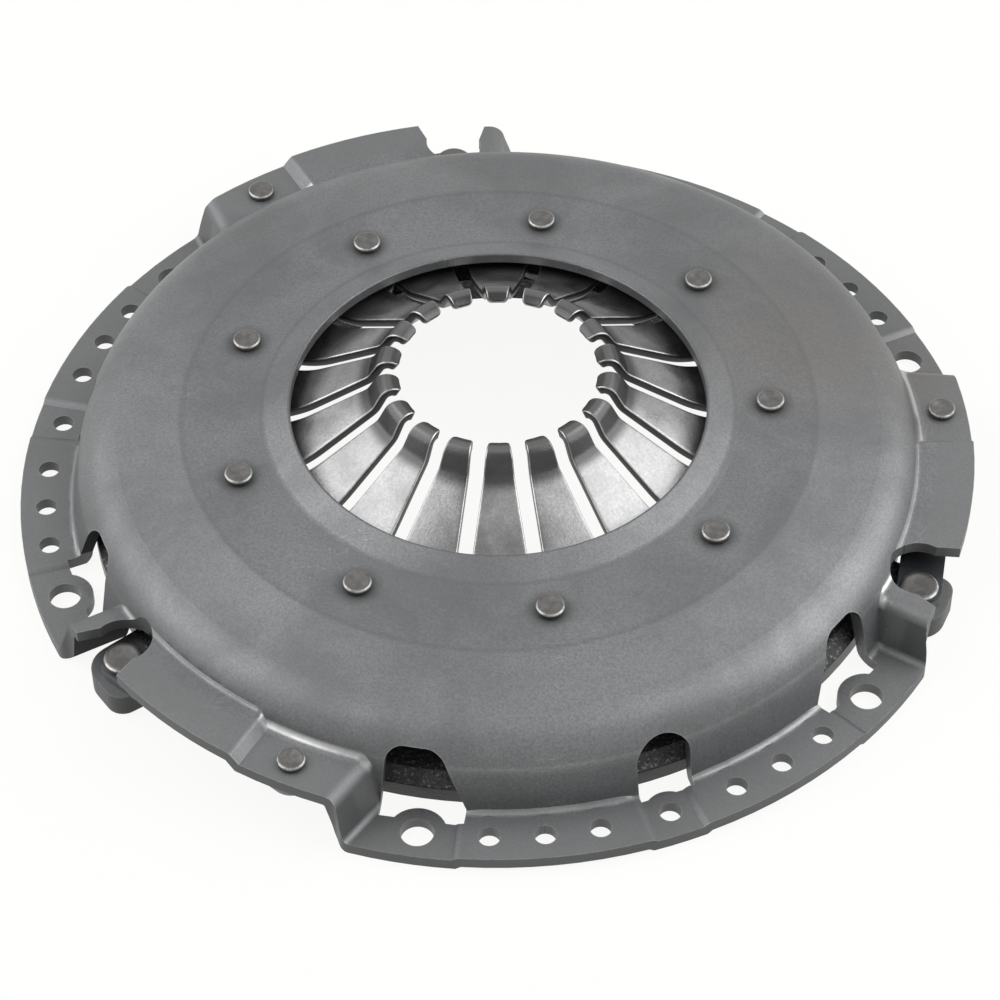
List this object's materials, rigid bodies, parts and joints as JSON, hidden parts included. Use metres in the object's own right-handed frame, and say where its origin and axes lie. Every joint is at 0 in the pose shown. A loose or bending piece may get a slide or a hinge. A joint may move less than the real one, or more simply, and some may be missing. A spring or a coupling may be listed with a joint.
{
  "type": "clutch pressure plate",
  "caption": "Diaphragm-spring clutch cover assembly: pressed steel cover with bolting flange and strap ears, spring with upswept fingers, and an iron pressure plate on drive straps.",
  "frame": {"origin": "centre of the bolt circle, on the underside of the cover's bolting pads", "axes": "+Z along the clutch axis, away from the flywheel and towards the gearbox; +X through the centre of one of the nine spacer rivets"},
  "size_m": [0.2733, 0.2759, 0.0483],
  "materials": {
    "phosphated_sheet": "matte grey phosphate over pressed sheet",
    "spring_steel": "hardened and shot-blasted spring steel, satin",
    "rivet_steel": "plain upset steel heads, satin",
    "ring_wire": "drawn round wire, oiled",
    "strap_steel": "blued spring strip",
    "grey_iron": "as cast, with a ground friction face"
  },
  "bodies": {
    "cover_assembly": {"cover": "phosphated_sheet", "upper_fulcrum_ring": "ring_wire", "lower_fulcrum_ring": "ring_wire", "diaphragm_spring": "spring_steel", "spacer_rivet_1": "rivet_steel", "spacer_rivet_2": "rivet_steel", "spacer_rivet_3": "rivet_steel", "spacer_rivet_4": "rivet_steel", "spacer_rivet_5": "rivet_steel", "spacer_rivet_6": "rivet_steel", "spacer_rivet_7": "rivet_steel", "spacer_rivet_8": "rivet_steel", "spacer_rivet_9": "rivet_steel", "cover_strap_rivet_1": "rivet_steel", "cover_strap_rivet_2": "rivet_steel", "cover_strap_rivet_3": "rivet_steel", "drive_strap_1_leaf_1": "strap_steel", "drive_strap_1_leaf_2": "strap_steel", "drive_strap_1_leaf_3": "strap_steel", "drive_strap_2_leaf_1": "strap_steel", "drive_strap_2_leaf_2": "strap_steel", "drive_strap_2_leaf_3": "strap_steel", "drive_strap_3_leaf_1": "strap_steel", "drive_strap_3_leaf_2": "strap_steel", "drive_strap_3_leaf_3": "strap_steel"},
    "pressure_plate_assembly": {"pressure_plate": "grey_iron", "lug_rivet_1": "rivet_steel", "lug_rivet_2": "rivet_steel", "lug_rivet_3": "rivet_steel"}
  },
  "joints": [
    {"name": "plate_lift", "type": "slide", "parent": "cover_assembly", "child": "pressure_plate_assembly", "axis": [0, 0, 1], "range_m": [0, 0.005], "stiffness_N_per_m": 20000, "deforming": ["diaphragm_spring", "drive_strap_1_leaf_1", "drive_strap_1_leaf_2", "drive_strap_1_leaf_3", "drive_strap_2_leaf_1", "drive_strap_2_leaf_2", "drive_strap_2_leaf_3", "drive_strap_3_leaf_1", "drive_strap_3_leaf_2", "drive_strap_3_leaf_3"]}
  ]
}
